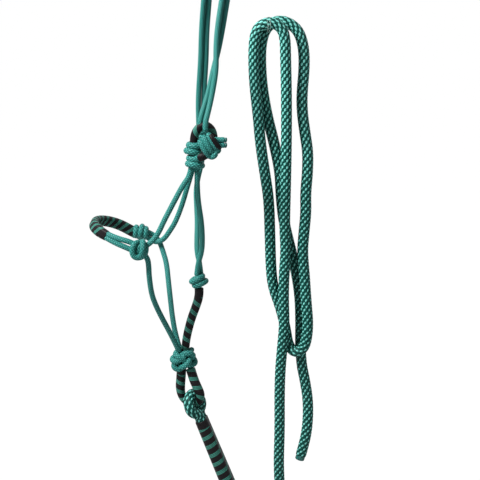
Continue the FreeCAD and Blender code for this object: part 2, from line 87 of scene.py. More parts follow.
LINK_REACH = (ROPE + CORD) / 2 + SLIP + LACE  # between two crossing centrelines that touch
LINK_GAP = 0.00095           # room between the halter's loop and the lead's eye
LOOP_PLAY = 0.0042           # the loop's room at each side of the rope
EYE_PLAY = 0.0027            # the eye's room at each side of the loop
LINK_TURN = 30.0             # how far the loop and the eye are turned about the vertical
WRAP_TURN = 90.0             # the same for the two rope parts inside the lead's wrap
LINK_DOWN = Vector((0.368, 0.0, -0.930)).normalized()
LOOP_BOTTOM = Vector((-0.0372, 0.0, -0.6417))
LOOP_SIDE = 0.0135
LOOP_NARROWING = 0.0015
EYE_HEIGHT = 0.031
EYE_WAIST = 0.0115
EYE_DRAWN_IN = 0.005         # the two parts lie together this far before and after the eye's mouth
LEAD_BEFORE_WRAP = 0.003
LEAD_WRAP_LENGTH = 0.101
LEAD_SHORT_OF_WRAP = 0.012
LEAD_PAST_WRAP = 0.007
SEAM_INSIDE_WRAP = 0.020     # the eye's rope and the hanging rope meet this far inside the wrap

SIDE_KNOT_NEAR = Vector((-0.0335, -0.040, -0.3127))
SIDE_KNOT_FAR = Vector((-0.0284, 0.040, -0.303))
NOSE_KNOT_NEAR = Vector((-0.1031, -0.056, -0.4275))
NOSE_KNOT_FAR = Vector((-0.1082, 0.056, -0.4257))
THROAT_KNOT = Vector((-0.0314, 0.0, -0.4792))
FIADOR_KNOT = Vector((-0.050, 0.0, -0.5809))
HITCH = Vector((-0.0166, -0.0546, -0.299))
NOSE_FORWARD = Vector((-0.0594, 0.0, 0.0302)).normalized()
NOSE_CENTRE = (NOSE_KNOT_NEAR + NOSE_KNOT_FAR) / 2
NOSE_SPACING = CORD / 2 + SLIP
NOSE_PRESSED = 0.0025        # half the spacing of the two cords drawn together by their lacing
NOSE_LOOSE_POINTS = 3        # points of the bare stretch, before that
NOSE_BOWED_POINT = 1         # the one of them that bows away
UPPER_BULGE = 0.0020         # how far it does so on the upper cord, and on the lower
LOWER_BULGE = -0.0004
LEAD_PIVOT = Vector((0.0729, 0.0, -0.6325))
TAIL_PIVOT = Vector((0.1006, 0.005, -0.5877))
LEAD_END = Vector((0.1006, 0.005, -0.717))


def tenths(*places: tuple[int, int, int]) -> list[Point]:
    """Turns places written in tenths of a millimetre into metres."""
    return [tuple(part / 10000.0 for part in place) for place in places]


# ---- routes of the cords, each from end to end

CHEEK_NEAR = tenths(
    (-372, -400, -3180), (-384, -405, -3360), (-490, -430, -3506), (-570, -450, -3652),
    (-654, -475, -3810), (-724, -500, -3942), (-792, -520, -4089), (-885, -545, -4205),
    (-990, -560, -4260))
CHEEK_FAR = tenths(
    (-314, 405, -3060), (-340, 410, -3240), (-463, 440, -3631), (-531, 470, -3871),
    (-625, 500, -4114), (-704, 525, -4240), (-776, 540, -4345), (-866, 555, -4395),
    (-945, 560, -4370), (-1040, 560, -4300))
CHIN_NEAR = tenths(
    (-990, -555, -4300), (-923, -548, -4380), (-910, -525, -4490), (-910, -500, -4621),
    (-888, -420, -4867), (-837, -360, -5035), (-769, -270, -5212), (-693, -180, -5391),
    (-625, -100, -5560), (-562, -50, -5720))
CHIN_FAR = tenths(
    (-1050, 560, -4235), (-955, 580, -4275), (-885, 605, -4335), (-835, 615, -4415),
    (-795, 580, -4525), (-746, 500, -4670), (-719, 400, -4893), (-690, 300, -5111),
    (-660, 185, -5323), (-616, 90, -5535), (-556, 50, -5720))
THROAT_NEAR = tenths(
    (-304, -400, -3180), (-310, -390, -3360), (-312, -350, -3550), (-299, -300, -3750),
    (-265, -230, -3989), (-256, -140, -4234), (-269, -75, -4400), (-319, -43, -4563),
    (-336, -36, -4720))
THROAT_FAR = tenths(
    (-242, 400, -3080), (-260, 400, -3260), (-352, 365, -3620), (-343, 300, -3845),
    (-330, 230, -4068), (-337, 145, -4286), (-334, 85, -4433), (-297, 48, -4581), (-284, 36, -4720))
THROAT_STRAP = tenths(
    (-314, 0, -4790), (-304, 0, -4910), (-312, 0, -5010), (-346, 0, -5120), (-404, 0, -5272),
    (-448, 0, -5432), (-482, 0, -5596), (-496, 0, -5760))
LOOP_START = tenths(
    (-534, 20, -5860), (-546, 48, -6040))
LOOP_FINISH = tenths(
    (-396, -48, -6040), (-446, -20, -5860))
EYE_OF_TIE = tenths(
    (-345, -420, -3060), (-350, -430, -2940), (-318, -445, -2815), (-222, -455, -2745),
    (-135, -455, -2795), (-100, -445, -2900), (-125, -480, -3040), (-190, -540, -3105),
    (-262, -560, -3140), (-330, -480, -3160))
NOSE_MIDDLE = tenths(
    (-120, -560, 0), (80, -556, -5), (240, -530, -25), (380, -475, -40), (520, -350, -52),
    (605, -170, -57), (620, 40, -55), (570, 230, -45), (460, 390, -32), (310, 500, -28),
    (125, 552, -45), (-40, 560, -50))
BIGHT = tenths(
    (250, -40, -8000), (245, -165, -8280), (225, -263, -8530), (304, -187, -8720), (441, -66, -8830),
    (597, 82, -8830), (730, 202, -8720), (805, 260, -8530), (804, 230, -8260), (772, 145, -7950),
    (740, 50, -7600), (722, 5, -7220), (734, 0, -6780))
HANK = tenths(
    (734, -40, -5985), (755, -80, -5681), (785, -90, -5348), (770, -90, -5020), (774, -90, -4708),
    (798, -90, -4372), (777, -90, -4089), (787, -90, -3606), (795, -90, -2977), (792, -80, -2420),
    (780, -70, -2000), (770, -70, -1680), (702, -70, -1570), (590, -70, -1528), (476, -70, -1562),
    (402, -70, -1660), (382, -70, -1920), (396, -60, -2284), (440, -50, -2656), (472, -30, -3033),
    (530, -10, -3414), (582, 0, -3746), (597, 10, -4220), (613, 40, -4680), (646, 50, -4905),
    (717, 60, -5095), (780, 60, -5320), (812, 40, -5480), (832, 6, -5608), (882, -39, -5694),
    (954, -72, -5712), (1026, -85, -5662), (1066, -85, -5560), (1088, -75, -5344),
    (1058, -60, -5027), (1037, -40, -4719), (1007, -30, -4409), (1027, -20, -4153), (1051, 0, -3900),
    (1043, 0, -3661), (1065, 0, -3415), (1070, 10, -3144), (1026, 20, -2875), (993, 30, -2639),
    (988, 40, -2408), (1016, 50, -2103), (1008, 60, -1840), (948, 70, -1644), (822, 73, -1536),
    (666, 73, -1512), (532, 73, -1600), (476, 70, -1790), (470, 70, -2030), (491, 70, -2333),
    (554, 70, -2687), (650, 64, -3049), (723, 60, -3398), (735, 60, -3704), (769, 60, -4013),
    (841, 60, -4310), (933, 70, -4664), (987, 70, -5005), (999, 70, -5349), (996, 66, -5600))
LEAD_TAIL = tenths(
    (1060, 56, -6126), (1104, 54, -6403), (1102, 46, -6698), (1065, 46, -6958))


def half_turn(reach: float) -> list[tuple[float, float]]:
    """Gives the corners of a cord's path half way round something.

    Args:
        reach: from the middle to the cord's centreline.

    Returns:
        Offsets sideways and back, one for each of the four corners.
    """
    inner = reach * math.tan(math.radians(22.5))
    return [(-reach, reach - inner), (-inner, 0.0), (inner, 0.0), (reach, reach - inner)]


def over_peg(across: float) -> list[Point]:
    """Gives the corners of one crown strand over its peg, at a place across the peg."""
    corners = half_turn((PEG_DIAMETER + CORD) / 2)
    return [(sideways, across, CORD / 2 - back) for sideways, back in corners]


CROWN_FRONT = tenths(
    (-305, 385, -2960), (-313, 370, -2800), (-314, 330, -2463), (-277, 260, -2006),
    (-265, 190, -1630), (-233, 120, -1261), (-186, 30, -778), (-159, -18, -422))
CROWN_FRONT += [(-0.0156, -STRAND, -0.022), *over_peg(-STRAND), (0.0153, -STRAND, -0.021)]
CROWN_FRONT += tenths(
    (134, -46, -470), (75, -90, -781), (-6, -165, -1260), (-62, -250, -1619), (-76, -315, -1858),
    (-72, -384, -2097), (-126, -430, -2407), (-174, -505, -2610), (-208, -545, -2740),
    (-199, -546, -2821))
CROWN_REAR = tenths(
    (-236, 405, -2960), (-244, 385, -2800), (-246, 355, -2463), (-211, 280, -2006),
    (-200, 215, -1630), (-166, 155, -1261), (-130, 86, -778), (-126, 50, -422))
CROWN_REAR += [(-0.0149, STRAND, -0.022), *over_peg(STRAND), (0.0158, STRAND, -0.021)]
CROWN_REAR += tenths(
    (178, 20, -470), (136, -26, -781), (62, -110, -1260), (1, -190, -1619), (-46, -245, -1858),
    (-109, -308, -2097), (-176, -375, -2407), (-244, -435, -2610), (-272, -455, -2725),
    (-272, -456, -2772))


def link_side(turn: float) -> Vector:
    """Gives the direction across a link that is turned about the vertical, in degrees."""
    side = Vector((math.cos(math.radians(turn)), math.sin(math.radians(turn)), 0.0))
    return (side - LINK_DOWN * side.dot(LINK_DOWN)).normalized()


def eye_top() -> Vector:
    """Gives where the middle of the lead's rope passes over the halter's loop."""
    return LOOP_BOTTOM - LINK_DOWN * (LINK_REACH + LINK_GAP)


def lead_loop_route() -> list[Point]:
    """Gives the halter's loop: out of its knot, round in a U, and back in."""
    side = link_side(-LINK_TURN)
    corners = [LOOP_BOTTOM + side * across - LINK_DOWN * back
               for across, back in half_turn(LINK_REACH + LOOP_PLAY)]
    left = corners[0] - LINK_DOWN * LOOP_SIDE + side * LOOP_NARROWING
    right = corners[-1] - LINK_DOWN * LOOP_SIDE - side * LOOP_NARROWING
    return LOOP_START + [tuple(point) for point in (left, *corners, right)] + LOOP_FINISH


def lead_wrap_ends() -> tuple[Vector, Vector]:
    """Gives the middles of the top and the bottom of the wrap below the lead's eye."""
    top = eye_top() + LINK_DOWN * (EYE_HEIGHT + LEAD_BEFORE_WRAP)
    return top, top + LINK_DOWN * LEAD_WRAP_LENGTH


def wrap_offset() -> Vector:
    """Gives the way from the wrap's middle to the middle of the hanging rope in it."""
    return link_side(WRAP_TURN) * (ROPE / 2 + SLIP)


def lead_eye_route() -> list[Point]:
    """Gives the lead's end: up out of its wrap, through the halter's loop and back in."""
    side = link_side(90 - LINK_TURN)
    close = wrap_offset()
    top = eye_top()
    arch = [top + side * across + LINK_DOWN * back for across, back in half_turn(LINK_REACH + EYE_PLAY)]
    waist = LINK_DOWN * EYE_WAIST
    mouth = top + LINK_DOWN * (EYE_HEIGHT - EYE_DRAWN_IN)
    inside = mouth + LINK_DOWN * 2 * EYE_DRAWN_IN
    bottom = lead_wrap_ends()[1]
    short_end = bottom - LINK_DOWN * LEAD_SHORT_OF_WRAP - close
    seam = bottom - LINK_DOWN * SEAM_INSIDE_WRAP + close
    up = [short_end, inside - close, mouth - close, arch[0] + waist]
    route = [*up, *arch, arch[-1] + waist, mouth + close, inside + close, seam]
    return [tuple(point) for point in route]


def lead_rope_route() -> list[Point]:
    """Gives the hanging rope: out of the wrap, round the low bend, up and through the hank."""
    bottom = lead_wrap_ends()[1] + wrap_offset()
    start = [bottom - LINK_DOWN * SEAM_INSIDE_WRAP, bottom + LINK_DOWN * LEAD_PAST_WRAP]
    return [tuple(point) for point in start] + BIGHT + [tuple(LEAD_PIVOT)] + HANK


def noseband_route(side: float, bulge: float = 0.0) -> list[Point]:
    """Gives one noseband cord.

    Args:
        side: 1 for the upper cord, -1 for the lower, 0 for the line between them.
        bulge: how far its bare stretch bows away, along the band's normal.

    Returns:
        The cord's points from the near nose knot round to the far one.
    """
    normal = noseband_normal()
    points = []
    for index, (along, across, rise) in enumerate(NOSE_MIDDLE):
        spacing = NOSE_SPACING if index < NOSE_LOOSE_POINTS else NOSE_PRESSED
        lift = side * spacing + rise + (bulge if index == NOSE_BOWED_POINT else 0.0)
        place = NOSE_CENTRE + NOSE_FORWARD * along + normal * lift
        points.append((place.x, across, place.z))
    return points


def noseband_normal() -> Vector:
    """Gives the upward normal of the flat U that the noseband makes."""
    normal = Vector((0, 1, 0)).cross(NOSE_FORWARD).normalized()
    return normal if normal.z > 0 else -normal


# ---- choices

class Body(Enum):
    """The bodies that a piece can ride on."""

    HEADSTALL = "headstall"
    NOSEBAND = "noseband"
    LEAD = "lead"
    LEAD_TAIL = "lead_tail"


class Slot(Enum):
    """The record's material slots."""

    CORD = "halter_cord"
    LACING = "dark_lacing"
    ROPE = "lead_rope"
    MELTED = "melted_end"
    THREAD = "pale_thread"


# ---- shader expressions

def math_method(operation: str, flipped: bool = False) -> Callable[..., "Term"]:
    """Gives a method of Term that adds one Math node.

    Args:
        operation: the node's operation.
        flipped: whether the term comes after the other value.

    Returns:
        The method, which takes the other value if the operation has one.
    """
    def method(term: "Term", *others: Number) -> "Term":
        """Adds the node."""
        return term.graph.math(operation, *((*others, term) if flipped else (term, *others)))
    return method


class Term:
    """A shader socket that takes part in Python arithmetic."""

    def __init__(self, graph: "Graph", socket: bpy.types.NodeSocket) -> None:
        """Wraps a socket of a graph."""
        self.graph = graph
        self.socket = socket

    __add__ = __radd__ = math_method("ADD")
    __mul__ = __rmul__ = math_method("MULTIPLY")
    __sub__ = math_method("SUBTRACT")
    __rsub__ = math_method("SUBTRACT", flipped=True)
    __truediv__ = math_method("DIVIDE")
    __pow__ = math_method("POWER")
    __abs__ = math_method("ABSOLUTE")
    floor = math_method("FLOOR")
    fraction = math_method("FRACT")
    sine = math_method("SINE")

    def limited(self) -> "Term":
        """Holds the value between 0 and 1."""
        return self.graph.math("MINIMUM", self.graph.math("MAXIMUM", self, 0.0), 1.0)


class Graph:
    """The nodes of one material, or of the world."""

    MIX_FIRST = 6
    MIX_SECOND = 7
    MIX_RESULT = 2

    def __init__(self, owner: bpy.types.Material | bpy.types.World) -> None:
        """Starts with no nodes."""
        self.owner = owner
        owner.use_nodes = True
        self.tree = owner.node_tree
        self.tree.nodes.clear()

    def node(self, kind: str, settings: dict | None = None, inputs: dict | None = None) -> bpy.types.Node:
        """Adds a node.

        Args:
            kind: the node's type.
            settings: its properties, set before its sockets.
            inputs: values or links, by socket name or number.

        Returns:
            The new node.
        """
        made = self.tree.nodes.new(kind)
        for key, value in (settings or {}).items():
            setattr(made, key, value)
        for key, value in (inputs or {}).items():
            if isinstance(value, Term):
                self.tree.links.new(value.socket, made.inputs[key])
            else:
                made.inputs[key].default_value = value
        return made

    def term(self, kind: str, output: int | str, inputs: dict | None = None,
             settings: dict | None = None) -> Term:
        """Adds a node and gives one of its outputs."""
        return Term(self, self.node(kind, settings, inputs).outputs[output])

    def math(self, operation: str, *values: Number) -> Term:
        """Adds one Math node on values or sockets."""
        return self.term("ShaderNodeMath", 0, dict(enumerate(values)), {"operation": operation})

    def mix(self, factor: Number, first: "Colour | Term", second: "Colour | Term") -> Term:
        """Mixes two colours: the first at 0, the second at 1."""
        inputs = {0: factor, self.MIX_FIRST: opaque(first), self.MIX_SECOND: opaque(second)}
        return self.term("ShaderNodeMix", self.MIX_RESULT, inputs, {"data_type": "RGBA"})

    def surface_place(self) -> tuple[Term, Term]:
        """Gives the distance along a cord in metres and the share of the way round it."""
        place = self.term("ShaderNodeUVMap", 0, settings={"uv_map": "UVMap"})
        parts = self.node("ShaderNodeSeparateXYZ", inputs={0: place})
        return Term(self, parts.outputs[0]), Term(self, parts.outputs[1])

    def noise(self, scale: float, detail: float) -> Term:
        """Gives a noise that is fixed in the object's own space."""
        place = self.term("ShaderNodeTexCoord", "Object")
        return self.term("ShaderNodeTexNoise", 0, {"Vector": place, "Scale": scale, "Detail": detail})

    def altitude(self) -> Term:
        """Gives a place's height in the object's own space, in metres."""
        return self.term("ShaderNodeSeparateXYZ", 2, {0: self.term("ShaderNodeTexCoord", "Object")})

    def bump(self, height: Term, distance: float, strength: float) -> Term:
        """Turns a height from 0 to 1 into a normal."""
        return self.term("ShaderNodeBump", 0, {"Height": height, "Distance": distance, "Strength": strength})

    def finish(self, colour: Term, roughness: Term, normal: Term, fixed: dict) -> bpy.types.Material:
        """Closes the material with its shader.

        Args:
            colour: its base colour.
            roughness: its roughness.
            normal: its bumped normal.
            fixed: plain numbers for the shader's other sockets.

        Returns:
            The material.
        """
        changing = {"Base Color": colour, "Roughness": roughness, "Normal": normal}
        shader = self.term("ShaderNodeBsdfPrincipled", 0, {**fixed, **changing})
        self.node("ShaderNodeOutputMaterial", inputs={0: shader})
        return self.owner


def opaque(colour: "Colour | Term") -> "Term | tuple[float, ...]":
    """Adds an alpha of 1 to a plain colour."""
    return colour if isinstance(colour, Term) else (*colour, 1.0)


def written(red: int, green: int, blue: int) -> Colour:
    """Turns a colour as it is written, 0 to 255, into the renderer's linear one."""
    def linear(part: int) -> float:
        """Undoes the display's curve for one part."""
        share = part / 255
        return share / 12.92 if share <= 0.04045 else ((share + 0.055) / 1.055) ** 2.4
    return linear(red), linear(green), linear(blue)


# ---- reliefs: the same numbers shape a mesh and colour it

@dataclass(frozen=True)
class Braid:
    """A plaited surface: columns of stitches round a cord, each column half a repeat on.

    Args:
        columns: stitches round the cord, an even number.
        repeat: length along the cord of a light and a dark stitch together.
        slant: how far a stitch leans over its width, in repeats.
        depth: height of a stitch.
        herringbone: whether neighbouring columns lean opposite ways.
    """

    columns: int
    repeat: float
    slant: float
    depth: float
    herringbone: bool

    def height(self, distance: np.ndarray, share: np.ndarray) -> np.ndarray:
        """Gives the stitches' height over a grid of places."""
        column = share * self.columns
        across = column % 1.0 - 0.5
        odd = np.floor(column) % 2.0
        lean = self.slant * across * (1.0 - 2.0 * odd * self.herringbone)
        wave = np.sin(2.0 * math.pi * (distance / self.repeat + odd / 2.0 + lean))
        crest = np.cos(math.pi * across) ** 0.7
        return self.depth * crest * (0.35 + 0.65 * np.abs(wave) ** 0.5)

    def terms(self, graph: Graph) -> tuple[Term, Term]:
        """Gives the same stitches as shader terms.

        Args:
            graph: the material they are for.

        Returns:
            A wave that is above 0 on light stitches, and each stitch's crest from 0 to 1.
        """
        distance, share = graph.surface_place()
        column = share * float(self.columns)
        across = column.fraction() - 0.5
        odd = (column.floor() * 0.5).fraction() * 2.0
        lean = across * self.slant
        if self.herringbone:
            lean = lean * (1.0 - 2.0 * odd)
        wave = ((distance / self.repeat + odd * 0.5 + lean) * (2.0 * math.pi)).sine()
        crest = ((across + 0.5) * math.pi).sine()
        return wave, crest * (0.35 + 0.65 * abs(wave) ** 0.5)


@dataclass(frozen=True)
class Lacing:
    """Strands of lacing wound round side by side, some of them coloured.

    Args:
        pitch: length along the cord of one turn of all the strands.
        plain: length at the start where none is coloured.
        strands: how many lie side by side.
        coloured: how many of them are coloured.
        depth: height of a strand's crown.
        starts: how many such ribbons are wound side by side; below 0 they wind the other way.
    """

    pitch: float
    plain: float
    strands: int = 7
    coloured: int = 3
    depth: float = 0.0003
    starts: int = 1

    def height(self, distance: np.ndarray, share: np.ndarray) -> np.ndarray:
        """Gives the strands' height over a grid of places."""
        turn = (distance / self.pitch + self.starts * share) % 1.0
        return self.depth * np.sin(math.pi * ((turn * self.strands) % 1.0)) ** 0.6

    def terms(self, graph: Graph) -> tuple[Term, Term]:
        """Gives whether a strand is coloured, 0 or 1, and its crown from 0 to 1."""
        distance, share = graph.surface_place()
        turn = (distance / self.pitch + share * float(self.starts)).fraction()
        crown = ((turn * float(self.strands)).fraction() * math.pi).sine()
        coloured = graph.math("LESS_THAN", turn, self.coloured / self.strands)
        past = graph.math("GREATER_THAN", distance, self.plain)
        return coloured * past, crown


@dataclass(frozen=True)
class Smooth:
    """No relief, for thread and melted ends."""

    def height(self, distance: np.ndarray, share: np.ndarray) -> np.ndarray:
        """Gives a height of nothing over a grid of places."""
        return np.zeros(np.broadcast(distance, share).shape)


Relief = Braid | Lacing | Smooth

CORD_BRAID = Braid(columns=12, repeat=0.0032, slant=0.6, depth=0.00030, herringbone=True)
ROPE_BRAID = Braid(columns=12, repeat=0.0084, slant=-0.26, depth=0.00075, herringbone=False)


# ---- finishes

# The halter cord is one teal: its light and mid colours are lit and shaded copies of it, painted highlight
# and painted shade on its stitches.
TEAL_PAINTED_HIGHLIGHT = written(92, 194, 184)
TEAL_MID = written(38, 124, 116)
# darkest teal: painted shade in the cord's creases, and the scorch on its melted ends
TEAL_CREASE_SHADE_AND_SCORCH = written(6, 54, 54)
ROPE_LIGHT = written(126, 216, 204)
ROPE_DARK = written(3, 70, 62)
# painted shade between the rope's stitches
ROPE_CREASE_SHADE = written(2, 40, 38)
LACE_BLACK = written(22, 17, 20)
LACE_TEAL = written(72, 150, 134)
# near-black: painted shade in the grooves between lacing strands, and random mottling of the coloured strands
LACE_GROOVE_SHADE_AND_MOTTLE = written(4, 7, 8)
WHITE = (1.0, 1.0, 1.0, 1.0)

TOP_LIGHT_LOW = -0.42             # painted light: the rope is lighter towards the top of its hank, where more light falls
TOP_LIGHT_HIGH = -0.16


@dataclass(frozen=True)
class BraidedNylon:
    """Plaited nylon with light and dark stitches, almost without sheen: two real tones on the lead rope,
    painted highlight and painted shade on the one-tone halter cord.

    Args:
        name: the material's name.
        slot: the record's slot for it; not used.
        braid: the plait it follows.
        light: colour of the light stitches.
        dark: colour of the dark stitches.
        crease: painted shade between the stitches.
        contrast: how sharply light stitches turn to dark ones.
        light_share: how much of the surface is light.
        openness: how soon a crease gives way to a stitch.
        roughness: roughness of the nylon.
        painted_top_light: light share gained from TOP_LIGHT_LOW up to TOP_LIGHT_HIGH, painted light that
            makes the rope lighter towards the top of its hank.
    """

    name: str
    slot: Slot
    braid: Braid
    light: Colour
    dark: Colour
    crease: Colour
    contrast: float
    light_share: float
    openness: float
    roughness: float
    painted_top_light: float = 0.0

    @cache
    def material(self) -> bpy.types.Material:
        """Builds the material, once."""
        graph = Graph(bpy.data.materials.new(self.name))
        wave, crest = self.braid.terms(graph)
        cloud = graph.noise(28.0, 3.0)
        fibre = graph.noise(1900.0, 2.0)
        lit = wave * self.contrast + self.light_share
        # Painted light: more of the rope's stitches turn light towards the top of its hank, where more light
        # falls.
        if self.painted_top_light:
            risen = ((graph.altitude() - TOP_LIGHT_LOW) * (1 / (TOP_LIGHT_HIGH - TOP_LIGHT_LOW))).limited()
            lit = lit + risen * self.painted_top_light
        stitch = graph.mix(lit.limited(), self.dark, self.light)
        worn = graph.mix((cloud - 0.35).limited() * 0.35, stitch, self.dark)
        # Painted shade: the creases between stitches darken to the crease colour.
        open_part = (crest * self.openness - 0.10 + (fibre - 0.5) * 0.35).limited()
        colour = graph.mix(open_part, self.crease, worn)
        normal = graph.bump(crest * 0.7 + fibre * 0.3, 0.00025, 0.55)
        fixed = {"Sheen Weight": 0.04, "Sheen Roughness": 0.4, "Specular IOR Level": 0.14}
        return graph.finish(colour, self.roughness + (fibre - 0.5) * 0.25, normal, fixed)


@dataclass(frozen=True)
class WaxedLacing:
    """Flat waxed lacing, black with coloured strands, with painted shade in the grooves between its strands.
    """

    slot: ClassVar[Slot] = Slot.LACING
    name: str
    lacing: Lacing

    @cache
    def material(self) -> bpy.types.Material:
        """Builds the material, once."""
        graph = Graph(bpy.data.materials.new(self.name))
        coloured, crown = self.lacing.terms(graph)
        cloud = graph.noise(160.0, 3.0)
        fibre = graph.noise(1500.0, 2.0)
        strand = graph.mix(coloured, LACE_BLACK, graph.mix(cloud * 0.5, LACE_TEAL, LACE_GROOVE_SHADE_AND_MOTTLE))
        # Painted shade: the grooves between strands darken to near-black.
        colour = graph.mix((crown * 1.7 - 0.15).limited(), LACE_GROOVE_SHADE_AND_MOTTLE, strand)
        normal = graph.bump(crown * 0.7 + fibre * 0.3, 0.0003, 0.5)
        return graph.finish(colour, 0.42 + (fibre - 0.5) * 0.3, normal, {"Specular IOR Level": 0.14})


@dataclass(frozen=True)
class MeltedNylon:
    """A cord's end, melted hard and a little scorched."""

    slot: ClassVar[Slot] = Slot.MELTED
    name: str
    light: Colour
    dark: Colour

    @cache
    def material(self) -> bpy.types.Material:
        """Builds the material, once."""
        graph = Graph(bpy.data.materials.new(self.name))
        blotch = graph.noise(420.0, 4.0)
        colour = graph.mix(((blotch - 0.5) * 2.5 + 0.5).limited(), self.light, self.dark)
        normal = graph.bump(blotch, 0.0005, 0.5)
        return graph.finish(colour, 0.28 + blotch * 0.2, normal, {"Specular IOR Level": 0.5})


@dataclass(frozen=True)
class TwistedThread:
    """Thin pale thread with its twist, with painted shade in the grooves between its plies."""

    slot: ClassVar[Slot] = Slot.THREAD
    name: str
    pale: Colour
    shade: Colour
    twist: float

    @cache
    def material(self) -> bpy.types.Material:
        """Builds the material, once."""
        graph = Graph(bpy.data.materials.new(self.name))
        distance, share = graph.surface_place()
        ply = abs(((distance / self.twist + share * 2.0) * math.pi).sine())
        # Painted shade: the grooves between plies take the darker colour.
        colour = graph.mix(ply, self.shade, self.pale)
        return graph.finish(colour, 0.6 + 0.1 * ply, graph.bump(ply, 0.0001, 0.5), {"Sheen Weight": 0.2})


Finish = BraidedNylon | WaxedLacing | MeltedNylon | TwistedThread

# The halter cord is one teal: its light stitches are painted highlight, its dark stitches painted shade, and
# its creases painted shade.
CORD_FINISH = BraidedNylon(
    "braided_cord", Slot.CORD, CORD_BRAID, TEAL_PAINTED_HIGHLIGHT, TEAL_MID, TEAL_CREASE_SHADE_AND_SCORCH,
    contrast=1.6, light_share=0.5, openness=1.2, roughness=0.45)
ROPE_FINISH = BraidedNylon(
    "braided_lead", Slot.ROPE, ROPE_BRAID, ROPE_LIGHT, ROPE_DARK, ROPE_CREASE_SHADE,
    contrast=2.6, light_share=-1.05, openness=2.2, roughness=0.48, painted_top_light=1.1)
MELTED_FINISH = MeltedNylon("melted_nylon", TEAL_MID, TEAL_CREASE_SHADE_AND_SCORCH)
THREAD_FINISH = TwistedThread("tie_thread", written(168, 202, 192), written(96, 130, 122), 0.0016)


# ---- lines and skins

def smooth_points(route: Sequence[Point], pieces: int = 24) -> np.ndarray:
    """Reads points along the smooth spline that a route controls.

    Args:
        route: the cord's points.
        pieces: how finely each run is read.

    Returns:
        The points, one row each.
    """
    curve = bpy.data.curves.new("route", "CURVE")
    curve.dimensions = "3D"
    curve.resolution_u = pieces
    spline = curve.splines.new("NURBS")
    spline.points.add(len(route) - 1)
    for point, place in zip(spline.points, route):
        point.co = (*place, 1.0)
    spline.order_u = 3
    spline.use_endpoint_u = True
    holder = bpy.data.objects.new("route", curve)
    mesh = bpy.data.meshes.new_from_object(holder)
    points = np.array([vertex.co for vertex in mesh.vertices], float)
    bpy.data.objects.remove(holder)
    bpy.data.meshes.remove(mesh)
    bpy.data.curves.remove(curve)
    return points


def distances(points: np.ndarray) -> np.ndarray:
    """Gives the distance along a line at each of its points."""
    return np.concatenate([[0.0], np.cumsum(np.linalg.norm(np.diff(points, axis=0), axis=1))])


def read_at(points: np.ndarray, passed: np.ndarray, places: np.ndarray) -> np.ndarray:
    """Reads a line, whose points lie at the passed distances, at other places along it."""
    return np.column_stack([np.interp(places, passed, points[:, i]) for i in range(3)])


class Line:
    """A line read at an even step, with a frame across it at each place."""

    def __init__(self, points: np.ndarray, step: float, side: Vector | None = None) -> None:
        """Reads the line.

        Args:
            points: points along it, close together.
            step: the distance between places.
            side: a direction that the frame's side keeps to, or None to carry it along.
        """
        passed = distances(points)
        count = max(int(round(passed[-1] / step)), 4)
        self.length = float(passed[-1])
        self.distance = np.linspace(0.0, self.length, count + 1)
        self.centre = read_at(points, passed, self.distance)
        self.tangent = rows_to_unit(np.gradient(self.centre, axis=0))
        self.side = self._sides(side)
        self.up = np.cross(self.tangent, self.side)

    def _sides(self, side: Vector | None) -> np.ndarray:
        """Gives a direction across the line at each place, without twist or held to a side."""
        start = Vector((0.0, 1.0, 0.13)) if side is None else side
        current = np.array(start, float)
        sides = np.empty_like(self.tangent)
        for index, along in enumerate(self.tangent):
            base = current if side is None else np.array(side, float)
            current = base - along * float(base @ along)
            current = current / np.linalg.norm(current)
            sides[index] = current
        return sides


def rows_to_unit(rows: np.ndarray) -> np.ndarray:
    """Scales each row to a length of 1."""
    return rows / np.linalg.norm(rows, axis=1, keepdims=True)


def part_of(points: np.ndarray, start: float, end: float) -> np.ndarray:
    """Gives the stretch of a line between two distances along it.

    Args:
        points: points along the line.
        start: the stretch's first distance.
        end: its last distance; below 0 it counts back from the line's end.

    Returns:
        The stretch's points.
    """
    passed = distances(points)
    last = end if end > 0 else passed[-1] + end
    inside = passed[(passed > start) & (passed < last)]
    places = np.concatenate([[start], inside, [last]])
    return read_at(points, passed, places)


@dataclass(frozen=True)
class RoundSection:
    """A circle."""

    radius: float

    def outline(self, share: np.ndarray) -> tuple[np.ndarray, np.ndarray]:
        """Gives places and outward normals at shares of the way round."""
        angle = 2.0 * math.pi * share
        normal = np.column_stack([np.cos(angle), np.sin(angle)])
        return normal * self.radius, normal


@dataclass(frozen=True)
class OvalSection:
    """Two half circles joined by straight sides, round two cords side by side."""

    half_spacing: float
    radius: float

    def outline(self, share: np.ndarray) -> tuple[np.ndarray, np.ndarray]:
        """Gives places and outward normals at even shares of the way round."""
        cap = math.pi * self.radius
        flat = 2.0 * self.half_spacing
        distance = (share % 1.0) * 2.0 * (cap + flat)
        half = np.where(distance < cap + flat, 1.0, -1.0)
        local = np.where(half > 0, distance, distance - cap - flat)
        angle = np.minimum(local, cap) / self.radius - math.pi / 2.0
        slide = np.maximum(local - cap, 0.0)
        normal = np.column_stack([np.cos(angle), np.sin(angle)]) * half[:, None]
        place = normal * self.radius
        place[:, 0] += half * (self.half_spacing - slide)
        return place, normal


Section = RoundSection | OvalSection


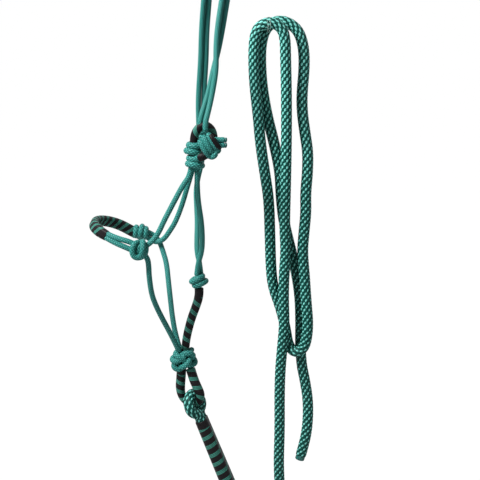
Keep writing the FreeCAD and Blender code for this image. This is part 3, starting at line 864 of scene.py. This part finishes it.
@dataclass
class Skin:
    """A closed skin rolled round a line.

    Args:
        line: the line it follows.
        section: its outline.
        relief: what stands out of it.
        around: faces round it.
        tip: length over which each end closes.
        widths: its width along the line, as shares of the outline, or None for even.
    """

    line: Line
    section: Section
    relief: Relief
    around: int
    tip: float
    widths: Callable[[np.ndarray], np.ndarray] | None = None

    def mesh(self) -> bpy.types.Mesh:
        """Rolls a grid round the line, joins its seam and closes its ends."""
        rings = len(self.line.distance)
        sheet = bmesh.new()
        sheet.loops.layers.uv.new("UVMap")
        bmesh.ops.create_grid(sheet, x_segments=rings - 1, y_segments=self.around, size=0.5, calc_uvs=True)
        made = bpy.data.meshes.new("skin")
        sheet.to_mesh(made)
        sheet.free()
        self._roll(made, rings)
        self._measure(made)
        whole = bmesh.new()
        whole.from_mesh(made)
        bmesh.ops.remove_doubles(whole, verts=whole.verts, dist=1e-7)
        bmesh.ops.recalc_face_normals(whole, faces=whole.faces)
        whole.to_mesh(made)
        whole.free()
        return made

    def _roll(self, made: bpy.types.Mesh, rings: int) -> None:
        """Moves the flat grid's points onto the skin."""
        flat = np.empty(len(made.vertices) * 3, np.float32)
        made.vertices.foreach_get("co", flat)
        flat = flat.reshape(-1, 3).astype(float)
        ring = np.rint((flat[:, 0] + 0.5) * (rings - 1)).astype(int)
        share = np.rint((flat[:, 1] + 0.5) * self.around) / self.around
        distance = self.line.distance[ring]
        place, normal = self.section.outline(share)
        closing = self._closing(distance)
        if self.widths is not None:
            place = place * self.widths(distance)[:, None]
        offset = (place + normal * self.relief.height(distance, share)[:, None]) * closing[:, None]
        across = self.line.side[ring] * offset[:, :1] + self.line.up[ring] * offset[:, 1:]
        rolled = self.line.centre[ring] + across
        made.vertices.foreach_set("co", rolled.astype(np.float32).ravel())

    def _closing(self, distance: np.ndarray) -> np.ndarray:
        """Gives the dome's share of the width near each end, down to nothing at the end."""
        near_end = np.minimum(distance, self.line.length - distance) / self.tip
        left = 1.0 - np.clip(near_end, 0.0, 1.0)
        return np.sqrt(np.maximum(1.0 - left ** 2, 0.0))

    def _measure(self, made: bpy.types.Mesh) -> None:
        """Stretches the grid's map so that it reads metres along the line."""
        layer = made.uv_layers["UVMap"].uv
        places = np.empty(len(layer) * 2, np.float32)
        layer.foreach_get("vector", places)
        places[0::2] *= self.line.length
        layer.foreach_set("vector", places)


def add_object(name: str, data: bpy.types.ID) -> bpy.types.Object:
    """Adds an object to the scene, at the origin."""
    made = bpy.data.objects.new(name, data)
    bpy.context.scene.collection.objects.link(made)
    return made


def place_piece(name: str, skins: Sequence[Skin], finish: Finish, body: Body | None,
                *replaced: str) -> bpy.types.Object:
    """Joins skins into one piece, hides the plain solids that it stands for and sets it on its body.

    Args:
        name: the piece's name.
        skins: its skins.
        finish: its finish.
        body: the body it rides on, or None to leave it on no body.
        replaced: the plain solids that it stands for.

    Returns:
        The piece, in the scene, shaded smooth.
    """
    whole = bmesh.new()
    whole.loops.layers.uv.new("UVMap")
    for skin in skins:
        mesh = skin.mesh()
        whole.from_mesh(mesh)
        bpy.data.meshes.remove(mesh)
    mesh = bpy.data.meshes.new(name)
    whole.to_mesh(mesh)
    whole.free()
    mesh.shade_smooth()
    mesh.materials.append(finish.material())
    piece = add_object(name, mesh)
    LOG.info("%s: %d faces", name, len(mesh.polygons))
    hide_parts(*replaced)
    if body is not None:
        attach(piece, body.value)
    return piece


def cord_skin(route: Sequence[Point], diameter: float = CORD) -> Skin:
    """Gives the skin of a length of halter cord along a route."""
    line = Line(smooth_points(route), CORD_BRAID.repeat / 4)
    return Skin(line, RoundSection(diameter / 2), CORD_BRAID, CORD_FACES, diameter * CORD_END_SHARE)


# ---- sub-assemblies

@dataclass
class View:
    """The camera, on a level heading and tilted down."""

    lens: float = 100.0
    sensor: float = 36.0
    tilt_down: float = 10.5
    place: Point = (0.0216, -1.6647, -0.1175)

    def build(self) -> None:
        """Makes the camera and looks through it."""
        camera = bpy.data.cameras.new("camera")
        camera.lens = self.lens
        camera.sensor_width = self.sensor
        holder = add_object("camera", camera)
        holder.location = self.place
        holder.rotation_euler = (math.radians(90.0 - self.tilt_down), 0.0, 0.0)
        bpy.context.scene.camera = holder


@dataclass
class LeadRope:
    """The lead: its eye through the halter's loop, its wrap, the hanging bend, the hank, its end."""

    step: float = ROPE_BRAID.repeat / 6
    around: int = 48
    end_share: float = 0.3
    tip_length: float = 0.004
    tip_share: float = 0.96
    tip_step: float = 0.0005
    tip_around: int = 40
    hank_end: Point = (0.1000, 0.0059, -0.5790)
    tail_start: Point = (0.0997, 0.0065, -0.5640)
    blend_reach: float = 0.017
    wrap_thickness: float = 0.0016
    wrap_width: float = 0.97
    wrap_growth: float = 0.12
    wrap_around: int = 96
    tie_shift: float = 0.005
    tie_turns: int = 3
    tie_steps: int = 16
    tie_lean: float = 0.0016
    tie_lean_rate: float = 1.7
    tie_flatness: float = 0.8
    tie_step: float = 0.0008
    tie_around: int = 10
    across_pivot: Vector = field(default_factory=lambda: Vector((0.96, 0.0, 0.29)).normalized())

    def rope(self, route: Sequence[Point]) -> Skin:
        """Gives the skin of one length of rope."""
        line = Line(smooth_points(route), self.step)
        return Skin(line, RoundSection(ROPE / 2), ROPE_BRAID, self.around, ROPE * self.end_share)

    def build(self) -> None:
        """Builds the lead's pieces."""
        wrap = self.build_wrap()
        tie = self.build_tie()
        eye = place_piece("lead_eye", [self.rope(lead_eye_route())], ROPE_FINISH, Body.LEAD)
        self.build_hanging()
        self.build_tail()

    def build_hanging(self) -> None:
        """Makes the hanging rope and hank, whose route runs through the pivot."""
        skin = self.rope(lead_rope_route() + [self.hank_end])
        rope = place_piece("lead_rope", [skin], ROPE_FINISH, None, "lead_rope_bight", "lead_rope_hank")
        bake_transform(rope)

    def build_tail(self) -> None:
        """Makes the rope's loose end below the hank, with its melted tip."""
        skin = self.rope([self.tail_start, tuple(TAIL_PIVOT), *LEAD_TAIL, tuple(LEAD_END)])
        line = skin.line
        tail = place_piece("lead_tail_rope", [skin], ROPE_FINISH, None, "lead_rope_tail")
        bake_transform(tail)
        along = Vector(line.tangent[-1])
        tip_start = Vector(line.centre[-1]) - along * self.tip_length
        tip_end = Vector(line.centre[-1]) + along * self.tip_length
        points = np.array([tip_start, (tip_start + tip_end) / 2, tip_end], float)
        section = RoundSection(ROPE / 2 * self.tip_share)
        melted = Skin(Line(points, self.tip_step), section, Smooth(), self.tip_around, END_ROUND)
        tip = place_piece("lead_tip", [melted], MELTED_FINISH, Body.LEAD_TAIL, "lead_rope_tip")
        LOG.info("lead_tail_rope is %.3f m long", line.length)

    def build_wrap(self) -> bpy.types.Object:
        """Makes the lacing round the two rope parts below the eye."""
        top, bottom = lead_wrap_ends()
        lacing = Lacing(pitch=0.0124, plain=0.011, depth=0.00035, starts=-1)
        points = np.array([top, (top + bottom) / 2, bottom], float)
        line = Line(points, WRAP_STEP, link_side(WRAP_TURN))
        radius = ROPE / 2 + SLIP
        section = OvalSection(radius, radius + self.wrap_thickness)
        skin = Skin(line, section, lacing, self.wrap_around, END_ROUND,
                    lambda distance: self.wrap_width + self.wrap_growth * distance / line.length)
        return place_piece("lead_wrap_lacing", [skin], WaxedLacing("lead_lacing", lacing), Body.LEAD,
                           "lead_wrap")

    def build_tie(self) -> bpy.types.Object:
        """Makes a few turns of thread round the two strands at the top of the hank."""
        low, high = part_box("hank_tie")
        middle = (low + high) / 2 - Vector((self.tie_shift, 0.0, 0.0))
        half = (high - low) / 2 - Vector((THREAD, THREAD, THREAD)) / 2
        points = []
        count = self.tie_turns * self.tie_steps
        for index in range(count + 1):
            angle = 2 * math.pi * index / self.tie_steps
            spread = math.copysign(abs(math.cos(angle)) ** self.tie_flatness, math.cos(angle))
            lean = self.tie_lean * math.sin(self.tie_lean_rate * angle)
            along = (index / count - 0.5) * half.x + lean
            points.append((middle.x + along, middle.y + half.y * spread, middle.z + half.z * math.sin(angle)))
        line = Line(smooth_points(points, SHORT_RUN), self.tie_step)
        skin = Skin(line, RoundSection(THREAD / 2), Smooth(), self.tie_around, THREAD)
        return place_piece("hank_thread", [skin], THREAD_FINISH, Body.HEADSTALL, "hank_tie")


@dataclass
class HalterCords:
    """The bare cords of the halter between its knots."""

    def build(self) -> None:
        """Makes each bare cord."""
        routes = {
            "cheek_cord_near": CHEEK_NEAR,
            "cheek_cord_far": CHEEK_FAR,
            "chin_cord_near": CHIN_NEAR,
            "chin_cord_far": CHIN_FAR,
            "throat_cord_near": THROAT_NEAR,
            "throat_cord_far": THROAT_FAR,
            "crown_cord_front": CROWN_FRONT,
            "crown_cord_rear": CROWN_REAR,
            "throat_strap_cord": THROAT_STRAP,
            "lead_loop_cord": lead_loop_route(),
            "tie_eye_cord": EYE_OF_TIE,
        }
        for node, route in routes.items():
            place_piece(node + "_braid", [cord_skin(route)], CORD_FINISH, Body.HEADSTALL, node)


@dataclass
class CordWraps:
    """Lacing round single cords of the halter."""

    strap_wrap: tuple[float, float] = (0.0085, 0.0955)
    strap_width: float = 1.12
    strap_narrowing: float = 0.12
    loop_bare: float = 0.0075
    eye_bare: float = 0.007
    fullness: float = 0.20
    bearing: float = 0.022
    around: int = 64

    def wrap(self, node: str, points: np.ndarray, lacing: Lacing,
             widths: Callable[[np.ndarray], np.ndarray] | None = None) -> None:
        """Makes one wrap.

        Args:
            node: the plain solid that it stands for.
            points: points along the wrapped stretch.
            lacing: how it is wound.
            widths: its width along the stretch, as shares, or None for even.
        """
        section = RoundSection(CORD / 2 + SLIP + LACE)
        skin = Skin(Line(points, WRAP_STEP), section, lacing, self.around, END_ROUND, widths)
        name = node + "_lacing"
        place_piece(name, [skin], WaxedLacing(name, lacing), Body.HEADSTALL, node)

    def build(self) -> None:
        """Makes the wraps of the throat strap, the lead loop and the tie's eye."""
        length = self.strap_wrap[1] - self.strap_wrap[0]
        points = part_of(smooth_points(THROAT_STRAP), *self.strap_wrap)
        self.wrap("throat_strap_wrap", points, Lacing(pitch=0.0123, plain=0.012),
                  lambda distance: self.strap_width - self.strap_narrowing * distance / length)
        points = part_of(smooth_points(lead_loop_route()), self.loop_bare, -self.loop_bare)
        middle = distances(points)[-1] / 2
        self.wrap("lead_loop_wrap", points, Lacing(pitch=0.0123, plain=0.009),
                  lambda distance: 1.0 + self.fullness * self._away(distance - middle))
        points = part_of(smooth_points(EYE_OF_TIE), self.eye_bare, -self.eye_bare)
        self.wrap("tie_eye_wrap", points, Lacing(pitch=0.0240, plain=0.008, strands=11))

    def _away(self, distance: np.ndarray) -> np.ndarray:
        """Gives 0 where the loop bears the lead's eye, and 1 well away from there."""
        share = np.clip(np.abs(distance) / self.bearing - 0.6, 0.0, 1.0)
        return share * share * (3.0 - 2.0 * share)


@dataclass
class Noseband:
    """Two cords in a U between the nose knots, laced together round the front."""

    wrap_start: float = 0.0525
    wrap_end: float = 0.010
    start_width: float = 0.88
    narrowing: float = 0.015
    fold_reach: float = 0.007
    pressed_lace: float = 0.7
    around: int = 80

    def build(self) -> None:
        """Makes the two cords and their lacing."""
        for node, side, bulge in (("noseband_cord_lower", -1.0, LOWER_BULGE),
                                  ("noseband_cord_upper", 1.0, UPPER_BULGE)):
            skin = cord_skin(noseband_route(side, bulge))
            piece = place_piece(node + "_braid", [skin], CORD_FINISH, None, node)
            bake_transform(piece)
        lacing = Lacing(pitch=0.0114, plain=0.009, starts=2)
        points = part_of(smooth_points(noseband_route(0.0)), self.wrap_start, -self.wrap_end)
        section = OvalSection(NOSE_PRESSED, NOSE_SPACING + LACE * self.pressed_lace)
        line = Line(points, WRAP_STEP, noseband_normal())
        skin = Skin(line, section, lacing, self.around, END_ROUND, self._widths)
        place_piece("noseband_wrap_lacing", [skin], WaxedLacing("noseband_lacing", lacing), Body.NOSEBAND,
                    "noseband_wrap")

    def _widths(self, distance: np.ndarray) -> np.ndarray:
        """Gives the lacing's width, narrow where it starts."""
        return self.start_width + (1.0 - self.start_width) * np.clip(distance / self.narrowing, 0.0, 1.0)


@dataclass(frozen=True)
class Turn:
    """One turn of cord round a knot, with both its ends tucked in at the back.

    Args:
        height: how high it lies in the knot.
        width: from its middle to the cord's centreline, sideways.
        depth: the same, front to back.
        shift: how far it is pulled to the right.
        lean: how much it rises to the right, as a slope.
        nod: how much it rises to the back, as a slope.
        steps: points in one turn.
        tuck: how far in its last point lies, as a share.
    """

    height: float
    width: float
    depth: float
    shift: float = 0.0
    lean: float = 0.0
    nod: float = 0.0
    steps: int = 14
    tuck: float = 0.80

    def route(self) -> list[Point]:
        """Gives the turn's points in the knot's own frame."""
        points = [(self.shift, 0.0, self.height)]
        for index in range(self.steps + 2):
            angle = math.pi / 2 + 2 * math.pi * index / self.steps
            tucked = self.tuck if index > self.steps else 1.0
            x = self.width * math.cos(angle) * tucked
            y = self.depth * math.sin(angle) * tucked
            points.append((x + self.shift, y, self.height + self.lean * x + self.nod * y))
        return points + [(self.shift, 0.0, self.height + self.nod * self.depth)]


@dataclass
class Knot:
    """A knot of halter cord, made in its own frame and stood on its axis.

    Args:
        node: the plain solid that it stands for.
        centre: its middle.
        axis: the way its own up points.
        strands: its turns, or routes of cord in its own frame: right, back and up.
        cord: the cord's thickness in it.
    """

    node: str
    centre: Vector
    axis: Vector
    strands: Sequence[Turn | list[Point]]
    cord: float = KNOT_CORD

    def build(self) -> None:
        """Makes the knot's strands as one piece."""
        up = self.axis.normalized()
        front = Vector((0.0, -1.0, 0.0))
        back = -(front - up * front.dot(up)).normalized()
        right = back.cross(up)
        skins = []
        for strand in self.strands:
            route = strand.route() if isinstance(strand, Turn) else strand
            placed = [self.centre + right * x + back * y + up * z for x, y, z in route]
            skins.append(cord_skin([tuple(place) for place in placed], self.cord))
        place_piece(self.node + "_turns", skins, CORD_FINISH, Body.HEADSTALL, self.node)


def woven_ball(bights: int, width: float, weave: float, height: float, start: float) -> list[Point]:
    """Gives one cord woven round in three leads, over and under itself.

    Args:
        bights: scallops along each edge.
        width: from the middle to the cord's centreline.
        weave: how far it goes out and in as it passes over and under.
        height: half the distance between the scallops' centrelines.
        start: the angle that it starts at, in degrees.

    Returns:
        The points in the knot's own frame.
    """
    leads = 3
    count = 16 * bights
    points = []
    for index in range(count + 1):
        phase = 2 * math.pi * bights * index / count
        around = 2 * math.pi * leads * index / count + math.radians(start)
        out = width + weave * math.sin(2 * phase)
        points.append((out * math.cos(around), out * math.sin(around), height * math.cos(phase)))
    return points


@dataclass
class Knots:
    """All the knots of the halter.

    Args:
        side_turns: height, width and depth of each turn of a side knot.
        near_pulls: shift, lean and nod of each turn of the near one.
        far_pulls: the same of the far one.
        keeper: radius of the lacing round the crown tails.
        keeper_step: distance between the rings of its skin.
        keeper_around: faces round it.
        keeper_end: length over which it closes.
        tails_drop: how far the tails' middle lies below that of their plain solid.
        tails_inside: how far the tails start inside the tie.
        tip_back: how far a melted end starts inside its tail.
        tip_step: length of each of its two runs.
        tip_droop: how far each run drops.
    """

    side_turns: Sequence[Point] = tuple(
        tenths((122, 78, 80), (40, 84, 84), (-38, 78, 78), (-118, 86, 84)))
    near_pulls: Sequence[Point] = (
        (-0.0002, 0.05, 0.06), (-0.0022, -0.10, -0.05), (0.0008, 0.06, 0.08), (0.0006, -0.08, -0.06))
    far_pulls: Sequence[Point] = (
        (0.0006, -0.05, 0.04), (0.0014, 0.08, -0.05), (-0.0010, -0.05, 0.06), (-0.0004, 0.07, -0.06))
    keeper: float = 0.0025
    keeper_step: float = 0.0005
    keeper_around: int = 40
    keeper_end: float = 0.0012
    tails_drop: float = 0.0012
    tails_inside: float = 0.005
    tip_back: float = 0.001
    tip_step: float = 0.0018
    tip_droop: float = 0.0002

    def build(self) -> None:
        """Makes each knot."""
        self.build_side_knot("side_knot_near", SIDE_KNOT_NEAR, self.near_pulls)
        self.build_side_knot("side_knot_far", SIDE_KNOT_FAR, self.far_pulls)
        self.build_nose_knots()
        self.build_throat_knot()
        self.build_fiador_knot()
        self.build_hitch()
        self.build_tails()

    def build_side_knot(self, node: str, centre: Vector, pulls: Sequence[Point]) -> None:
        """Makes the stacked turns below the tie, or their twin on the far side."""
        turns = [Turn(*size, *pull) for size, pull in zip(self.side_turns, pulls)]
        Knot(node, centre, Vector((0.06, 0.0, 1.0)), turns, SIDE_KNOT_CORD).build()

    def build_nose_knots(self) -> None:
        """Makes the knots at the ends of the noseband."""
        bracket = tenths(
            (10, 50, 80), (-20, -10, 88), (-56, -50, 66), (-72, -62, 16), (-72, -64, -36),
            (-50, -62, -80), (-6, -56, -94), (44, -36, -86), (70, 10, -62), (40, 50, -20))
        rider = tenths(
            (30, 50, 70), (54, 10, 102), (60, -56, 96), (60, -96, 42), (54, -104, -14),
            (44, -88, -62), (14, -40, -82), (0, 20, -60))
        inner = tenths(
            (20, 30, 60), (4, -16, 50), (-2, -30, 0), (6, -20, -52), (20, 30, -50))
        outer = tenths(
            (40, 60, 56), (84, 24, 58), (94, -30, 30), (90, -40, -26), (68, 0, -66), (10, 62, -62),
            (-60, 58, -30), (-64, 50, 40), (0, 60, 60))
        bands = [
            Turn(0.0064, 0.0058, 0.0066, lean=0.06),
            Turn(0.0000, 0.0070, 0.0078, shift=0.0008, lean=-0.10),
            Turn(-0.0064, 0.0058, 0.0066, shift=-0.0004, lean=0.10),
        ]
        Knot("nose_knot_near", NOSE_KNOT_NEAR, Vector((0, 0, 1)), [bracket, rider, inner, outer]).build()
        Knot("nose_knot_far", NOSE_KNOT_FAR, Vector((-1.0, 0.0, 0.12)), bands).build()

    def build_throat_knot(self) -> None:
        """Makes the knot where the throat cords meet."""
        turns = [
            Turn(0.0034, 0.0080, 0.0078, shift=-0.0004, lean=0.06),
            Turn(-0.0034, 0.0080, 0.0078, shift=0.0008, lean=-0.04),
        ]
        Knot("throat_knot", THROAT_KNOT, Vector((-0.46, 0.0, 1.0)), turns).build()

    def build_fiador_knot(self) -> None:
        """Makes the woven knot above the lead loop."""
        ball = woven_ball(4, 0.0104, 0.0030, 0.0088, 20.0)
        nub = tenths(
            (-60, 20, 30), (-130, -20, 36), (-160, -50, 12), (-130, -86, -12), (-60, -110, 6),
            (10, -100, 50), (40, -30, 80))
        curl = tenths(
            (-60, 10, -34), (-130, -50, -34), (-148, -74, -80), (-112, -80, -120), (-54, -66, -122),
            (-10, 10, -90))
        Knot("fiador_knot", FIADOR_KNOT, Vector((-0.10, 0.0, 1.0)), [ball, nub, curl]).build()

    def build_hitch(self) -> None:
        """Makes the three turns that hold the crown tails in the eye, and their ends."""
        strands = [
            Turn(0.0065, 0.0102, 0.0046, shift=-0.0004),
            Turn(0.0000, 0.0108, 0.0050, shift=-0.0002, nod=0.05),
            Turn(-0.0065, 0.0100, 0.0046, shift=0.0012),
            tenths((80, 20, -70), (134, 0, -58), (150, -30, -10), (128, -30, 32), (80, 20, 30)),
            tenths((60, 20, 60), (112, 10, 86), (124, -10, 50), (80, 30, 10)),
        ]
        Knot("tie_hitch", HITCH, Vector((0.866, 0.0, 0.50)), strands, HITCH_CORD).build()

    def build_tails(self) -> None:
        """Makes the crown tails, their melted ends and the lacing round their base."""
        low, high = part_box("crown_tails")
        middle = (low + high) / 2 - Vector((0.0, 0.0, self.tails_drop))
        section = RoundSection(CORD / 2)
        cords = []
        tips = []
        for side in (-0.5, 0.5):
            height = middle.z + side * CORD
            route = [(x, middle.y, height) for x in (low.x - self.tails_inside, middle.x, high.x)]
            cords.append(Skin(Line(np.array(route), 0.0007), section, CORD_BRAID, CORD_FACES, 0.001))
            tip = [(high.x - self.tip_back + self.tip_step * run, middle.y, height - self.tip_droop * run)
                   for run in range(3)]
            tips.append(Skin(Line(np.array(tip), 0.0004), section, Smooth(), 32, END_ROUND))
        place_piece("crown_tail_cords", cords, CORD_FINISH, Body.HEADSTALL, "crown_tails")
        place_piece("crown_tail_tips", tips, MELTED_FINISH, Body.HEADSTALL, "crown_tail_ends")
        lacing = Lacing(pitch=0.0200, plain=1.0, strands=12, coloured=0)
        base = Vector((low.x, middle.y - CORD / 2 - self.keeper, middle.z))
        band = [tuple(base + Vector(step) * CORD)
                for step in ((-0.8, 0.2, 1.5), (-0.45, -0.4, 1.0), (0.15, -0.3, 0.0),
                             (0.75, 0.0, -0.75), (0.9, 0.8, -1.1))]
        line = Line(smooth_points(band, SHORT_RUN), self.keeper_step)
        skin = Skin(line, RoundSection(self.keeper), lacing, self.keeper_around, self.keeper_end)
        name = "crown_tail_lacing"
        place_piece(name, [skin], WaxedLacing(name, lacing), Body.HEADSTALL)


@dataclass
class Studio:
    """A pale floor and soft lamps.

    Args:
        floor_height: height of the floor.
        floor_half: half its width.
        world_light: strength of the even light from all round.
        lamps: name, place, size and power of each lamp.
        aim: the place that the lamps point at.
    """

    floor_height: float = -1.0
    floor_half: float = 90.0
    world_light: float = 0.15
    lamps: tuple[tuple[str, Point, float, float], ...] = (
        ("key_lamp", (-0.95, -0.62, 0.75), 0.4, 42.0), ("fill_lamp", (1.6, -1.4, 0.1), 1.2, 2.0))
    aim: Point = (0.0, 0.0, -0.42)

    def build(self) -> None:
        """Makes the floor, the lamps and the sky."""
        bpy.context.scene.view_settings.view_transform = "Standard"
        self.build_floor()
        for name, place, size, power in self.lamps:
            self.build_lamp(name, place, size, power)
        self.build_sky()

    def build_floor(self) -> None:
        """Makes the floor, plain white to the camera but for the soft shadow on it."""
        sheet = bmesh.new()
        bmesh.ops.create_grid(sheet, x_segments=1, y_segments=1, size=self.floor_half)
        bmesh.ops.translate(sheet, verts=sheet.verts, vec=(0.0, 0.0, self.floor_height))
        mesh = bpy.data.meshes.new("floor")
        sheet.to_mesh(mesh)
        sheet.free()
        graph = Graph(bpy.data.materials.new("floor_paper"))
        seen = graph.term("ShaderNodeLightPath", "Is Camera Ray")
        paper = graph.term("ShaderNodeBsdfDiffuse", 0, {"Color": (0.75, 0.75, 0.75, 1.0)})
        glow = graph.term("ShaderNodeEmission", 0, {"Color": WHITE, "Strength": 1.1})
        shown = graph.term("ShaderNodeMixShader", 0, {0: seen * 0.9, 1: paper, 2: glow})
        graph.node("ShaderNodeOutputMaterial", inputs={0: shown})
        mesh.materials.append(graph.owner)
        add_object("floor", mesh)

    def build_lamp(self, name: str, place: Point, size: float, power: float) -> None:
        """Adds a soft lamp that points at the object's middle."""
        lamp = bpy.data.lights.new(name, "AREA")
        lamp.size = size
        lamp.energy = power
        holder = add_object(name, lamp)
        holder.location = place
        holder.rotation_euler = (Vector(self.aim) - Vector(place)).to_track_quat("-Z", "Y").to_euler()

    def build_sky(self) -> None:
        """Lights the scene evenly, and shows white behind it."""
        world = bpy.data.worlds.new("studio")
        bpy.context.scene.world = world
        graph = Graph(world)
        path = graph.node("ShaderNodeLightPath").outputs
        seen = graph.math("MAXIMUM", Term(graph, path["Is Camera Ray"]), Term(graph, path["Is Glossy Ray"]))
        limits = {"Value": seen, "To Min": self.world_light, "To Max": 1.0}
        strength = graph.term("ShaderNodeMapRange", 0, limits)
        sky = graph.term("ShaderNodeBackground", 0, {"Color": WHITE, "Strength": strength})
        graph.node("ShaderNodeOutputWorld", inputs={0: sky})


def main() -> None:
    """Builds the whole halter."""
    logging.basicConfig(level=logging.INFO, format="%(name)s: %(message)s")
    for assembly in (View(), LeadRope(), HalterCords(), CordWraps(), Noseband(), Knots(), Studio()):
        assembly.build()
        LOG.info("%s is built", type(assembly).__name__)


if __name__ == "__main__":
    main()
